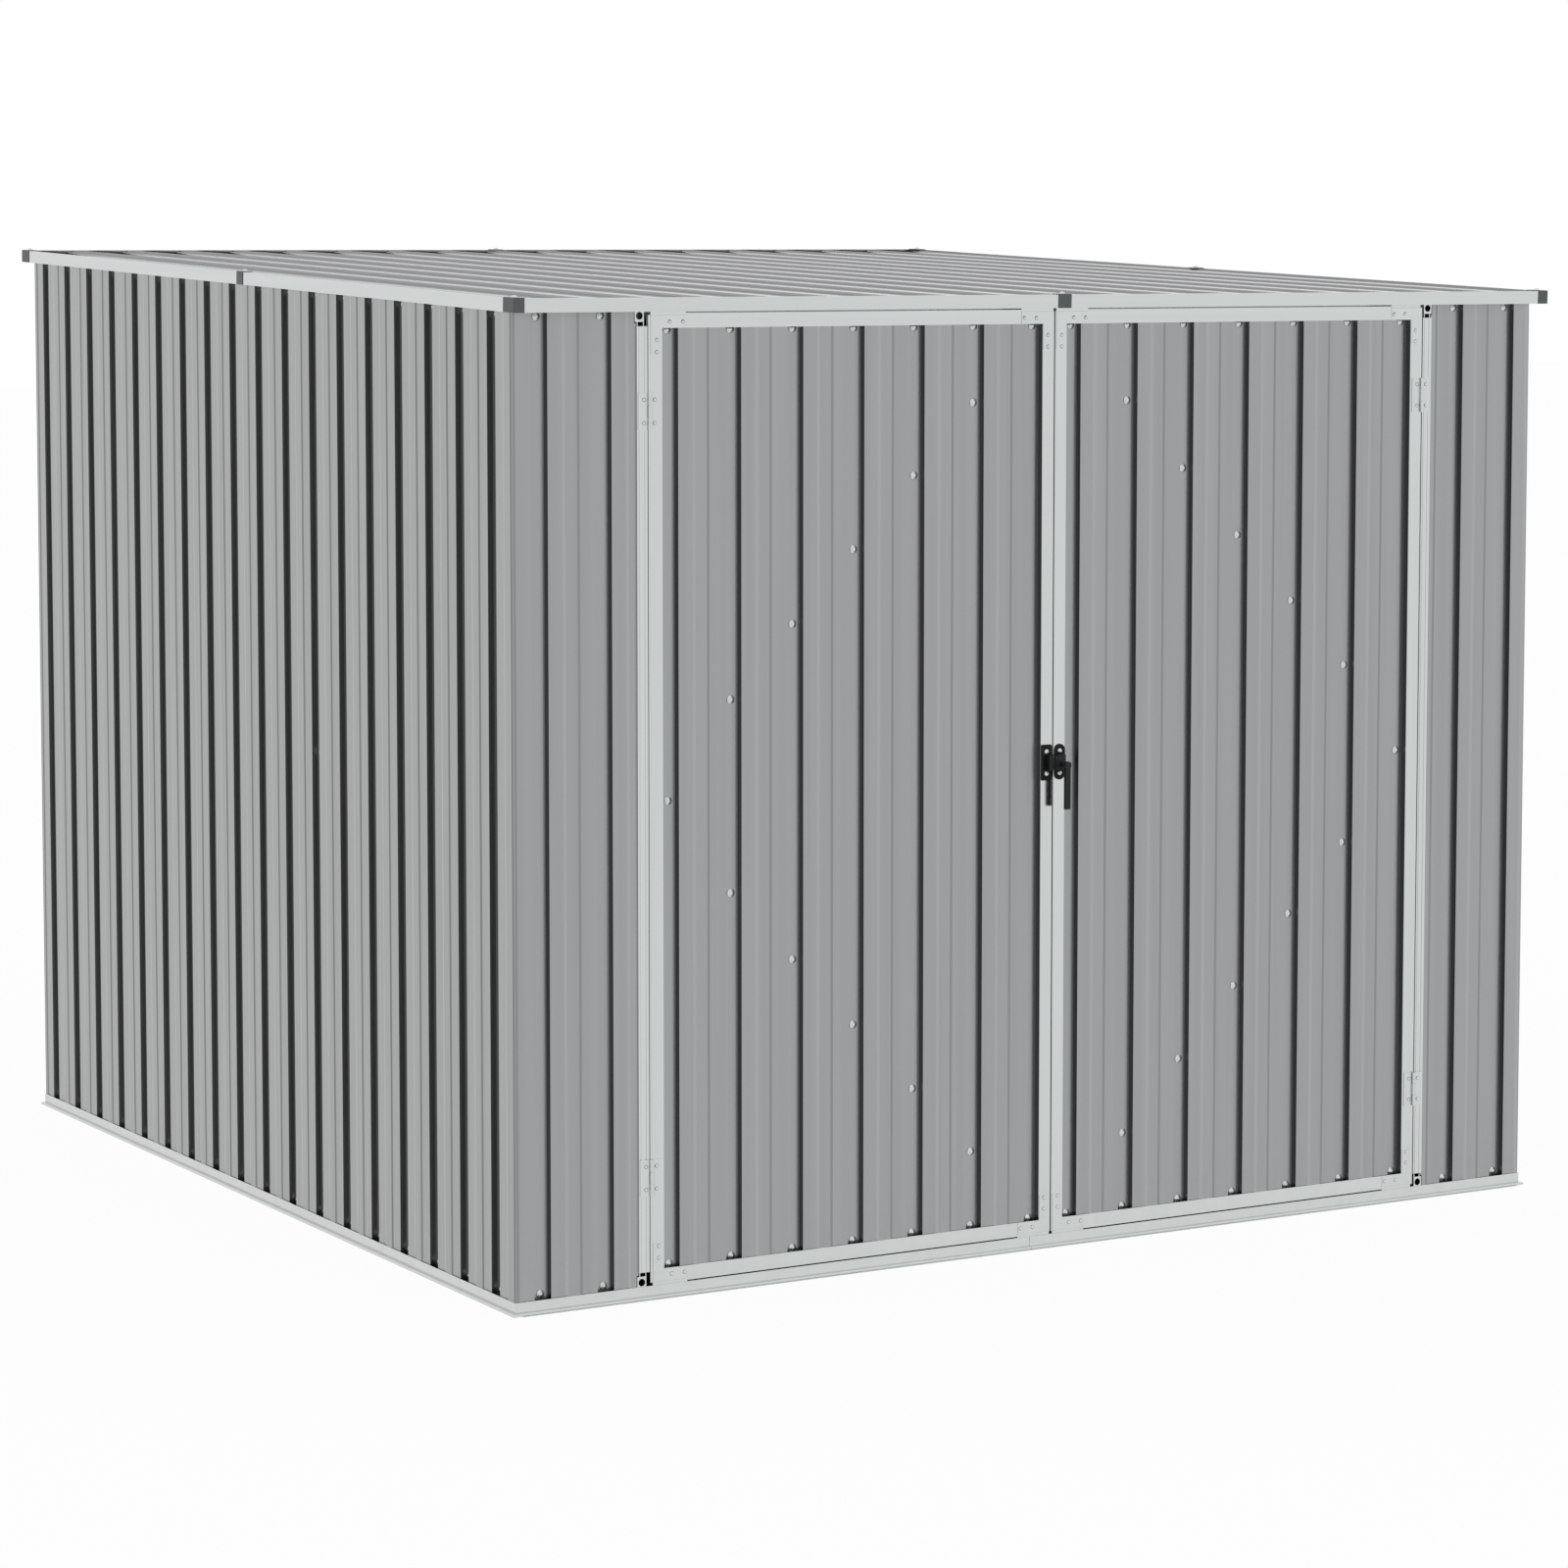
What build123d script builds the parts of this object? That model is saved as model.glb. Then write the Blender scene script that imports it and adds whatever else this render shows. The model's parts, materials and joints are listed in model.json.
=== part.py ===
# Metal storage shed: ribbed steel walls on a base rail, a roof that falls to the front,
# and two hinged doors with a turning latch lever. X runs along the front, Y to the back,
# Z up. The origin is on the ground under the middle of the roof.
import os
from math import atan, cos, degrees, hypot

from build123d import *

os.makedirs("parts", exist_ok=True)

# Driving dimensions, in millimetres

# Overall size of the walls and the roof
wall_width = 1907
wall_depth = 1939
eave_height = 1497
back_rise = 66
side_overhang = 11.5
end_overhang = 31

# Ribbed steel sheet, where the valleys point into the shed
sheet = 0.8
valley_width = 28
valley_depth = 10
flank_run = 1.5
band_offset = 24
band_width = 29.5
band_rise = 0.8
band_step_run = 5
rib_pitch = 107
door_rib_pitch = 108.8
side_first_valley = 67.6
back_first_valley = 44
strip_first_valley = 46
roof_first_valley = 54
door_first_valley = 34.2
side_seam_bay = 8
back_seam_bay = 9
roof_seam_bay = 9
seam_gap = 0.4

# Base rail round the feet of the walls
base_upstand = 20
base_plate = 1.5
base_foot = 30
base_lip = 6
base_lip_height = 4
base_seam = 915

# Folded posts and rails inside the walls
fold = 1.5
corner_leg = 26
wall_rail_height = 778
wall_rail_width = 30
wall_rail_lip = 15
header_height = 30
header_depth = 20
beam_width = 30
beam_height = 30

# Roof edge rail and its dark plastic caps
rail_height = 21
rail_flange_cover = 14
rail_top_lip = 5
cap_wall = 1
joint_cap_length = 24
cap_leg_front = 18
cap_leg_side = 32
cap_top_reach = 18
cap_screw_radius = 5
cap_screw_height = 3.5
cap_screw_bevel = 2
cap_screw_sides = 12

# Front wall: a narrow strip and a post on each side of the doorway
strip_width = 208
post_width = 18
post_depth = 30
post_face_out = 3
post_end_gap = 22
post_flute = 1
post_flute_width = 4
bracket_hole = 11.5
bracket_hole_rise = 6.5
bracket_tab = 15.5
bracket_width = 15.5
bracket_lap = 1.8
strip_notch = 3
bracket_cheek = 16.5
bracket_grip = 18

# Doors
hinge_gap = 5
meeting_gap = 5
door_clearance = 5
frame_width = 20
frame_sheet = 1.2
plate_leg = 60
plate_sheet = 0.8
plate_margin = 0.6
brace_width = 25
brace_lip = 9
brace_gap = 1

# Hinges
hinge_height = 56
hinge_leaf_width = 18
hinge_leaf = 1.2
barrel_radius = 3.2
pin_radius = 1.6
pin_fit = 0.25
barrel_fit = 0.5
upper_hinge_height = 1348
lower_hinge_height = 187

# Latch
latch_height = 779
latch_plate_height = 57
latch_plate = 1.5
latch_corner = 3
boss_height = 24
boss_reach = 10
boss_width = 16
keeper_width = 10
lever_width = 9
lever_thickness = 6
lever_length = 70
lever_pivot_rise = -3
lever_reach = 29.5
spindle_radius = 3.5
spindle_fit = 0.25
spindle_depth = 7
hub_radius = 6

# Worked out from the driving dimensions
roof_width = wall_width + 2 * side_overhang
roof_plan_depth = wall_depth + 2 * end_overhang
roof_slope = degrees(atan(back_rise / roof_plan_depth))
roof_length = roof_plan_depth / cos(atan(back_rise / roof_plan_depth))
sheet_depth = valley_depth + sheet
pan_inner = band_rise + sheet
half_width = wall_width / 2
half_depth = wall_depth / 2
post_inner = half_width - strip_width - post_width
door_width = post_inner - hinge_gap - meeting_gap / 2
door_bottom = base_upstand + door_clearance
door_top = eave_height - door_clearance
door_height = door_top - door_bottom
frame_depth = sheet_depth + 2 * frame_sheet
door_face = -half_depth - post_face_out
lever_axis = meeting_gap / 2 + boss_width / 2
end_flange = end_overhang + rail_flange_cover
side_flange = side_overhang + rail_flange_cover
tall = eave_height + back_rise + rail_height

roof_frame = Plane((-roof_width / 2, -roof_plan_depth / 2, eave_height)).rotated((roof_slope, 0, 0))


def save(shape, name):
    """Write one named piece."""
    export_step(shape, f"parts/{name}.step")
    print(name, len(shape.solids()), "solids")


def box(x0, x1, y0, y1, z0, z1):
    """A block between two corners."""
    block = Box(x1 - x0, y1 - y0, z1 - z0, align=(Align.MIN, Align.MIN, Align.MIN))
    return Pos(x0, y0, z0) * block


def under_roof(shape, rise=0):
    """Cut a piece off along the slope of the roof, rise above the rails' underside."""
    cut = Plane(roof_frame.origin, x_dir=roof_frame.x_dir, z_dir=roof_frame.z_dir).offset(rise)
    return split(shape, bisect_by=cut, keep=Keep.BOTTOM)


def level_at(folds, place):
    """Depth of a fold line at a place along it."""
    for (x0, y0), (x1, y1) in zip(folds, folds[1:]):
        if x0 <= place <= x1:
            return y0 + (y1 - y0) * (place - x0) / (x1 - x0)


def ribbed_sheet(start, end, valleys, bands, height):
    """A folded sheet, run along X and stood up along Z. Its valleys point along +Y, and the
    shallow raised bands in its pans touch the X axis."""
    folds = [(start - valley_width, band_rise)]
    marks = [(centre, valley_width, flank_run, valley_depth) for centre in valleys]
    marks += [(centre, band_width, band_step_run, 0) for centre in bands]
    for centre, width, run, depth in sorted(marks):
        low = centre - width / 2
        high = centre + width / 2
        folds += [(low, band_rise), (low + run, depth), (high - run, depth), (high, band_rise)]
    folds.append((end + valley_width, band_rise))
    inner = [fold_point for fold_point in folds if start + sheet < fold_point[0] < end - sheet]
    line = [(start, level_at(folds, start))] + inner + [(end, level_at(folds, end))]
    skin = offset(Polyline(*line), amount=sheet, side=Side.LEFT, kind=Kind.INTERSECTION)
    return extrude(make_face(skin), amount=height)


def valley_row(first, pitch, length):
    """Valley centres from the first one to the end of a wall."""
    count = int((length - first - valley_width / 2) / pitch) + 1
    return [first + pitch * index for index in range(count)]


def band_row(valleys, pitch):
    """One raised band in each pan, seen from outside a little left of the pan's middle."""
    reach = (valley_width + band_width) / 2 + band_offset
    return [centre + reach for centre in [valleys[0] - pitch] + valleys]


def sheet_run(start, end, first, pitch, height, seam_bay):
    """A run of ribbed sheet in two lengths that meet in the middle of a pan."""
    valleys = valley_row(first, pitch, end)
    bands = band_row(valleys, pitch)
    seam = first + pitch * seam_bay - pitch / 2
    near = ribbed_sheet(start, seam - seam_gap / 2, valleys, bands, height)
    far = ribbed_sheet(seam + seam_gap / 2, end, valleys, bands, height)
    return near, far


# Each side's frame, seen from outside: X to the right along the wall, Y into the shed
wall_frames = {
    "front": Plane((-half_width, -half_depth, 0), x_dir=(1, 0, 0), z_dir=(0, 0, 1)),
    "right": Plane((half_width, -half_depth, 0), x_dir=(0, 1, 0), z_dir=(0, 0, 1)),
    "back": Plane((half_width, half_depth, 0), x_dir=(-1, 0, 0), z_dir=(0, 0, 1)),
    "left": Plane((-half_width, half_depth, 0), x_dir=(0, -1, 0), z_dir=(0, 0, 1)),
}
wall_lengths = {"front": wall_width, "right": wall_depth, "back": wall_width, "left": wall_depth}


def side_wall(side):
    """A long ribbed wall in two sheets, standing on the base rail and cut to the roof."""
    length = wall_lengths[side]
    last = valley_row(side_first_valley, rib_pitch, wall_depth)[-1]
    first = {"back": back_first_valley, "right": side_first_valley, "left": wall_depth - last}[side]
    bay = back_seam_bay if side == "back" else side_seam_bay
    inset = 0 if side == "back" else pan_inner
    runs = sheet_run(inset, length - inset, first, rib_pitch, tall - base_plate, bay)
    sheets = [under_roof(wall_frames[side] * Pos(0, 0, base_plate) * run) for run in runs]
    return Part() + sheets


def front_strip(is_left):
    """The narrow ribbed strip between a corner and a door post."""
    valleys = valley_row(strip_first_valley, rib_pitch, strip_width)
    if not is_left:
        valleys = [strip_width - centre for centre in reversed(valleys)]
    strip = ribbed_sheet(0, strip_width, valleys, band_row(valleys, rib_pitch), tall - base_plate)
    start = 0 if is_left else wall_width - strip_width
    strip = Pos(start, 0, base_plate) * strip
    edge = strip_width if is_left else wall_width - strip_width
    inward = -1 if is_left else 1
    # Both corners beside the doorway are notched, so that the brackets' tabs reach past them
    reach = bracket_tab + bracket_lap
    for low, high in ((0, base_upstand + reach), (eave_height - reach, tall)):
        strip -= box(min(edge, edge + inward * strip_notch), max(edge, edge + inward * strip_notch),
                     -sheet_depth, sheet_depth, low, high)
    return under_roof(wall_frames["front"] * strip)


def mitre(shape, length, outer, inner):
    """Cut both ends of a rail at 45 degrees. The corner of the walls or roof is at 0, 0."""
    low = -2 * tall
    outline = Polygon(
        (-outer, -outer), (length + outer, -outer),
        (length - inner, inner), (inner, inner),
        align=None,
    )
    return shape & (Pos(0, 0, low) * extrude(outline, amount=2 * -low))


def base_rail(side):
    """Foot plate under a wall, with an upstand outside it and a rolled lip at the ground."""
    length = wall_lengths[side]
    reach = fold + base_lip
    section = Polyline(
        (-reach, 0), (base_foot, 0), (base_foot, base_plate), (0, base_plate),
        (0, base_upstand), (-fold, base_upstand), (-fold, base_lip_height),
        (-reach + fold, base_lip_height), (-reach, base_lip_height - fold), close=True,
    )
    # The section is drawn across the wall and pushed along it
    across = Plane((-reach, 0, 0), x_dir=(0, 1, 0), z_dir=(1, 0, 0))
    rail = extrude(across * make_face(section), amount=length + 2 * reach)
    rail = mitre(rail, length, reach, base_foot)
    if side == "front":
        rail -= box(base_seam - seam_gap / 2, base_seam + seam_gap / 2, -tall, tall, -tall, tall)
    return wall_frames[side] * rail


def corner_post(is_left, is_front):
    """An angle post inside a corner of the walls."""
    x = half_width - pan_inner
    y = half_depth - pan_inner
    post = box(x - corner_leg, x, y - fold, y, base_plate, tall)
    post += box(x - fold, x, y - corner_leg, y, base_plate, tall)
    if is_left:
        post = mirror(post, about=Plane.YZ)
    if is_front:
        post = mirror(post, about=Plane.XZ)
    return under_roof(post)


def wall_rail(side):
    """An angle along the inside of a wall, against the backs of the valleys."""
    start = corner_leg + pan_inner
    low = wall_rail_height - wall_rail_width / 2
    rail = box(start, wall_lengths[side] - start, sheet_depth, sheet_depth + fold,
               low, low + wall_rail_width)
    rail += box(start, wall_lengths[side] - start, sheet_depth, sheet_depth + wall_rail_lip,
                low, low + fold)
    return wall_frames[side] * rail


def door_header():
    """The channel behind the top of the doorway, against the backs of the posts."""
    start = corner_leg + pan_inner
    near = post_depth - post_face_out
    low = eave_height - header_height
    outer = box(start, wall_width - start, near, near + header_depth, low, tall)
    inner = box(start, wall_width - start, near + fold, near + header_depth, low + fold, tall)
    return under_roof(wall_frames["front"] * (outer - inner), base_plate)


def door_post(is_left):
    """A channel beside the doorway, with two flutes down its face. It stops short of the
    rails, where a bracket carries each end."""
    post = Rectangle(post_width, post_depth, align=(Align.CENTER, Align.MIN))
    post -= Pos(0, fold) * Rectangle(post_width - 2 * fold, post_depth, align=(Align.CENTER, Align.MIN))
    for place in (-post_width / 4, post_width / 4):
        flute = Polygon((place - post_flute_width / 2, 0), (place + post_flute_width / 2, 0),
                        (place, post_flute), align=None)
        post -= flute
    low = base_upstand + post_end_gap
    high = eave_height - post_end_gap
    post = Pos(post_middle(is_left), door_face, low) * extrude(post, amount=high - low)
    return post


def post_middle(is_left):
    """Centre line of a door post."""
    return (-1 if is_left else 1) * (post_inner + post_width / 2)


def post_brackets(is_left):
    """Channel brackets that carry the two ends of a post. A holed tab shows between the rail
    and the post's end, and two cheeks run on inside the post."""
    outward = -1 if is_left else 1
    tab_outer = post_inner + post_width + bracket_lap
    tab_inner = tab_outer - bracket_width
    middle = outward * (tab_outer + tab_inner) / 2
    front = -half_depth
    low_grip = base_upstand + post_end_gap + bracket_grip
    high_grip = eave_height - post_end_gap - bracket_grip
    ends = (
        (base_plate, base_upstand, 1, low_grip),
        (tall, eave_height, -1, high_grip),
    )
    pieces = []
    for root, rail_edge, inward, grip in ends:
        tab_end = rail_edge + inward * bracket_tab
        piece = box(middle - bracket_width / 2, middle + bracket_width / 2, front, front + fold,
                    min(root, tab_end), max(root, tab_end))
        for cheek in (tab_inner + fold / 2, post_inner + post_width - 3 * fold / 2):
            centre = outward * cheek
            piece += box(centre - fold / 2, centre + fold / 2, front, front + bracket_cheek,
                         min(root, grip), max(root, grip))
        hole = Pos(middle, front, rail_edge + inward * bracket_hole_rise)
        piece -= hole * Rot(90, 0, 0) * Cylinder(bracket_hole / 2, 2 * post_depth)
        pieces.append(under_roof(piece))
    return Part() + pieces


def roof_rail(side):
    """Edge rail in two lengths: an upright web, a flange under the sheets, a narrow top lip."""
    along_x = side in ("front", "back")
    length = roof_width if along_x else roof_length
    flange = end_flange if along_x else side_flange
    section = Rectangle(flange, rail_height, align=(Align.MIN, Align.MIN))
    section -= Pos(fold, fold) * Rectangle(flange, rail_height - 2 * fold, align=(Align.MIN, Align.MIN))
    section -= Pos(rail_top_lip, fold) * Rectangle(flange, rail_height, align=(Align.MIN, Align.MIN))
    rail = extrude(Plane.YZ * section, amount=length)
    # The end cut runs from the outer corner to where the two flanges meet
    other = side_flange if along_x else end_flange
    outline = Polygon((0, 0), (length, 0), (length - other, flange), (other, flange), align=None)
    rail = rail & (Pos(0, 0, -rail_height) * extrude(outline, amount=3 * rail_height))
    rail -= box(length / 2 - seam_gap / 2, length / 2 + seam_gap / 2, -flange, 2 * flange,
                -rail_height, 2 * rail_height)
    places = {
        "front": Location((0, 0, 0), (0, 0, 0)),
        "right": Location((roof_width, 0, 0), (0, 0, 90)),
        "back": Location((roof_width, roof_length, 0), (0, 0, 180)),
        "left": Location((0, roof_length, 0), (0, 0, -90)),
    }
    return roof_frame * places[side] * rail


def roof_caps():
    """Dark caps over the four corners and over the joint in the middle of each side."""
    top = rail_height + cap_wall
    corner = box(-cap_wall, cap_leg_front, -cap_wall, cap_leg_side, 0, top)
    corner -= box(0, roof_width, 0, roof_length, -top, rail_height)
    half = joint_cap_length / 2
    joint = box(-half, half, -cap_wall, cap_top_reach, 0, top)
    joint -= box(-half, half, 0, roof_length, -top, rail_height)
    corners = []
    for x, y, mirror_x, mirror_y in ((0, 0, 1, 1), (1, 0, -1, 1), (0, 1, 1, -1), (1, 1, -1, -1)):
        piece = corner
        if mirror_x < 0:
            piece = mirror(piece, about=Plane.YZ)
        if mirror_y < 0:
            piece = mirror(piece, about=Plane.XZ)
        corners.append(roof_frame * Pos(x * roof_width, y * roof_length, 0) * piece)
    joints = []
    spots = (
        Location((roof_width / 2, 0, 0), (0, 0, 0)),
        Location((roof_width, roof_length / 2, 0), (0, 0, 90)),
        Location((roof_width / 2, roof_length, 0), (0, 0, 180)),
        Location((0, roof_length / 2, 0), (0, 0, -90)),
    )
    for spot in spots:
        joints.append(roof_frame * spot * joint)
    return Part() + corners, Part() + joints


def cap_screws():
    """Screw heads on top of the caps."""
    head = extrude(RegularPolygon(cap_screw_radius, cap_screw_sides), amount=cap_screw_height)
    head = chamfer(head.faces().sort_by(Axis.Z)[-1].edges(), cap_screw_bevel)
    x = cap_leg_front / 2
    y = cap_leg_side / 2
    middle_in = cap_top_reach / 2
    places = [(x, y), (roof_width - x, y), (x, roof_length - y), (roof_width - x, roof_length - y)]
    places += [(roof_width / 2, middle_in), (roof_width / 2, roof_length - middle_in)]
    places += [(middle_in, roof_length / 2), (roof_width - middle_in, roof_length / 2)]
    top = rail_height + cap_wall
    return Part() + [roof_frame * Pos(px, py, top) * head for px, py in places]


def roof_sheets():
    """Two ribbed roof sheets side by side, seated on the flanges of the edge rails."""
    runs = sheet_run(fold, roof_width - fold, roof_first_valley, rib_pitch,
                     roof_length - 2 * fold, roof_seam_bay)
    lay = Plane((0, fold, fold + sheet_depth), x_dir=(1, 0, 0), z_dir=(0, 1, 0))
    return [roof_frame * lay * run for run in runs]


def roof_beam():
    """A channel across the shed under the middle of the roof."""
    middle = roof_length / 2
    outer = box(side_flange, roof_width - side_flange, middle - beam_width / 2,
                middle + beam_width / 2, fold - beam_height, fold)
    inner = box(side_flange, roof_width - side_flange, middle - beam_width / 2 + fold,
                middle + beam_width / 2 - fold, -beam_height, 0)
    return roof_frame * (outer - inner)


def place_door(shape, is_left):
    """Doors are drawn with the hinge edge at X 0, the face at Y 0 and the bottom at Z 0."""
    edge = post_inner - hinge_gap
    if not is_left:
        shape = mirror(shape, about=Plane.YZ)
    return Pos(-edge if is_left else edge, door_face, door_bottom) * shape


def door_sheet(is_left):
    """The ribbed sheet inside a door's frame, laid the same way round in both doors."""
    valleys = valley_row(door_first_valley, door_rib_pitch, door_width)
    bands = band_row(valleys, door_rib_pitch)
    if not is_left:
        valleys = [door_width - centre for centre in valleys]
        bands = [door_width - centre for centre in bands]
    panel = ribbed_sheet(frame_sheet, door_width - frame_sheet, valleys, bands,
                         door_height - 2 * frame_sheet)
    return place_door(Pos(0, frame_sheet, frame_sheet) * panel, is_left)


def frame_channel(length):
    """A U-shaped edge channel: its web at X 0, open towards +X, running up Z."""
    section = Rectangle(frame_width, frame_depth, align=(Align.MIN, Align.MIN))
    section -= Pos(frame_sheet, frame_sheet) * Rectangle(
        frame_width, frame_depth - 2 * frame_sheet, align=(Align.MIN, Align.MIN))
    return extrude(section, amount=length)


def door_stiles(is_left):
    """Hinge stile and meeting stile."""
    stile = frame_channel(door_height)
    meeting = Pos(door_width, 0, 0) * mirror(stile, about=Plane.YZ)
    return place_door(stile, is_left), place_door(meeting, is_left)


def door_rails(is_left):
    """Top and bottom rails between the stiles."""
    rail = Pos(frame_width, 0, 0) * Rot(0, 90, 0) * frame_channel(door_width - 2 * frame_width)
    top = Pos(0, 0, door_height) * rail
    bottom = mirror(rail, about=Plane.XY)
    return place_door(top, is_left), place_door(bottom, is_left)


def corner_plates(is_left):
    """Flat angle plates riveted over the four corners of a door's frame."""
    wide = frame_width - 2 * plate_margin
    plate = box(plate_margin, plate_margin + wide, -plate_sheet, 0, plate_margin, plate_leg)
    plate += box(plate_margin, plate_leg, -plate_sheet, 0, plate_margin, plate_margin + wide)
    pieces = [plate]
    pieces.append(Pos(door_width, 0, 0) * mirror(plate, about=Plane.YZ))
    pieces += [Pos(0, 0, door_height) * mirror(piece, about=Plane.XY) for piece in pieces]
    return Part() + [place_door(piece, is_left) for piece in pieces]


def door_braces(is_left):
    """Two slanted braces behind a door's sheet, from the middle of the hinge stile to the
    far corners. The door's screws run along them."""
    middle = door_height / 2
    run = door_width - frame_width
    rise = middle - frame_width
    angle = degrees(atan(rise / run))
    long = 2 * hypot(run, rise)
    back = frame_sheet + sheet_depth
    bar = box(0, long, back, back + fold, -brace_width / 2, brace_width / 2)
    bar += box(0, long, back, back + brace_lip, -brace_width / 2, -brace_width / 2 + fold)
    upper = Pos(0, 0, middle) * Rot(0, -angle, 0) * Pos(-brace_width, 0, 0) * bar
    window = box(frame_width, door_width - frame_width, 0, 2 * frame_depth,
                 middle + brace_gap / 2, door_height - frame_width)
    upper = upper & window
    lower = Pos(0, 0, 2 * middle) * mirror(upper, about=Plane.XY)
    return Part() + [place_door(upper, is_left), place_door(lower, is_left)]


def hinge_half(on_door):
    """One half of a plate hinge about a pin at X 0, Y 0, with the door on the +X side."""
    knuckle = (hinge_height - 2 * barrel_fit) / 3
    side = 1 if on_door else -1
    start = pin_radius / 2
    plate = box(start, start + hinge_leaf_width, barrel_radius - hinge_leaf, barrel_radius,
                -hinge_height / 2, hinge_height / 2)
    if side < 0:
        plate = mirror(plate, about=Plane.YZ)
    barrel = Cylinder(barrel_radius, knuckle)
    relief = Cylinder(barrel_radius + barrel_fit, knuckle + 2 * barrel_fit)
    ends = [Pos(0, 0, place * (knuckle + barrel_fit)) for place in (-1, 1)]
    if on_door:
        half = plate - [end * relief for end in ends] + barrel
        return half - Cylinder(pin_radius + pin_fit, hinge_height)
    half = plate - relief + [end * barrel for end in ends]
    return half + Cylinder(pin_radius, hinge_height)


def hinges(is_left, on_door):
    """Both hinge halves of one door, on the door or on the post."""
    axis = Pos(-hinge_gap / 2, -barrel_radius, 0)
    halves = []
    for height in (lower_hinge_height, upper_hinge_height):
        halves.append(place_door(axis * Pos(0, 0, height - door_bottom) * hinge_half(on_door), is_left))
    return Part() + halves


def keeper():
    """Squarer latch plate on the left door, with the half boss that the bolt enters."""
    plate = extrude(RectangleRounded(frame_width, latch_plate_height, latch_corner), amount=latch_plate)
    boss = extrude(Rectangle(keeper_width, boss_height), amount=boss_reach)
    boss = chamfer(boss.faces().sort_by(Axis.Z)[-1].edges(), latch_plate)
    piece = plate + Pos(frame_width / 2 - keeper_width / 2, 0, latch_plate) * boss
    return latch_place(-(meeting_gap + frame_width) / 2, piece)


def latch_place(x, piece):
    """Latch pieces are drawn flat, X right and Y up, and stand off the door faces."""
    face = Plane((x, door_face, latch_height), x_dir=(1, 0, 0), z_dir=(0, -1, 0))
    return face * piece


def latch_case():
    """Round-ended latch plate on the right door, with the boss that the lever turns in."""
    plate = extrude(SlotOverall(latch_plate_height, frame_width, rotation=90), amount=latch_plate)
    boss = extrude(Rectangle(boss_width, boss_height), amount=boss_reach)
    boss = chamfer(boss.faces().sort_by(Axis.Z)[-1].edges(), latch_plate)
    piece = plate + Pos((boss_width - frame_width) / 2, 0, latch_plate) * boss
    bore_middle = (boss_width - frame_width) / 2
    depth = spindle_depth + spindle_fit
    bore = Cylinder(spindle_radius + spindle_fit, depth, align=(Align.CENTER, Align.CENTER, Align.MAX))
    piece -= Pos(bore_middle, lever_pivot_rise, latch_plate + boss_reach) * bore
    return latch_place((meeting_gap + frame_width) / 2, piece)


def latch_lever():
    """A hub and a flat lever hanging from a spindle."""
    lever_low = lever_reach - lever_thickness
    root = latch_plate + boss_reach - spindle_depth
    spindle = Pos(0, 0, root) * Cylinder(
        spindle_radius, lever_low - root, align=(Align.CENTER, Align.CENTER, Align.MIN))
    hub = Pos(0, 0, lever_low) * Cylinder(
        hub_radius, lever_thickness, align=(Align.CENTER, Align.CENTER, Align.MIN))
    blade = Pos(0, 0, lever_low) * extrude(
        Pos(0, -lever_length / 2) * Rectangle(lever_width, lever_length), amount=lever_thickness)
    lever = spindle + hub + blade
    return latch_place(lever_axis, Pos(0, lever_pivot_rise, 0) * lever)


for side in ("front", "left", "right", "back"):
    save(base_rail(side), f"base_rail_{side}")
    save(roof_rail(side), f"roof_rail_{side}")
for side in ("left", "right", "back"):
    save(side_wall(side), f"wall_{side}")
    save(wall_rail(side), f"wall_rail_{side}")
for end, is_front in (("front", True), ("back", False)):
    for side, is_left in (("left", True), ("right", False)):
        save(corner_post(is_left, is_front), f"corner_post_{end}_{side}")
corner_caps, joint_caps = roof_caps()
save(corner_caps, "roof_corner_caps")
save(joint_caps, "roof_joint_caps")
save(cap_screws(), "roof_cap_screws")
for name, roof_sheet in zip(("left", "right"), roof_sheets()):
    save(roof_sheet, f"roof_sheet_{name}")
save(roof_beam(), "roof_beam")
save(door_header(), "door_header")
for side, is_left in (("left", True), ("right", False)):
    save(front_strip(is_left), f"front_strip_{side}")
    save(door_post(is_left), f"door_post_{side}")
    save(post_brackets(is_left), f"post_brackets_{side}")
    save(hinges(is_left, False), f"post_hinges_{side}")
    save(door_sheet(is_left), f"{side}_door_sheet")
    hinge_stile, meeting_stile = door_stiles(is_left)
    save(hinge_stile, f"{side}_door_hinge_stile")
    save(meeting_stile, f"{side}_door_meeting_stile")
    top_rail, bottom_rail = door_rails(is_left)
    save(top_rail, f"{side}_door_top_rail")
    save(bottom_rail, f"{side}_door_bottom_rail")
    save(corner_plates(is_left), f"{side}_door_corner_plates")
    save(door_braces(is_left), f"{side}_door_braces")
    save(hinges(is_left, True), f"{side}_door_hinges")
save(keeper(), "latch_keeper")
save(latch_case(), "latch_case")
save(latch_lever(), "latch_lever")
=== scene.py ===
# %% [markdown]
# # Metal storage shed
# The shed is ribbed, painted steel sheet screwed to thin folded rails, with two hinged doors
# and a black latch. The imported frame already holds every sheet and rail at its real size.
# This lesson dresses it: a finish on each surface, the screws and rivets that hold it
# together, a pale studio and a camera. Starting from the frame keeps the sizes right: what
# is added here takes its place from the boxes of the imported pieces.
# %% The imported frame
import json
from math import atan, atan2, cos, pi, radians, sin

import bmesh
import bpy
from mathutils import Matrix, Vector


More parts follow.
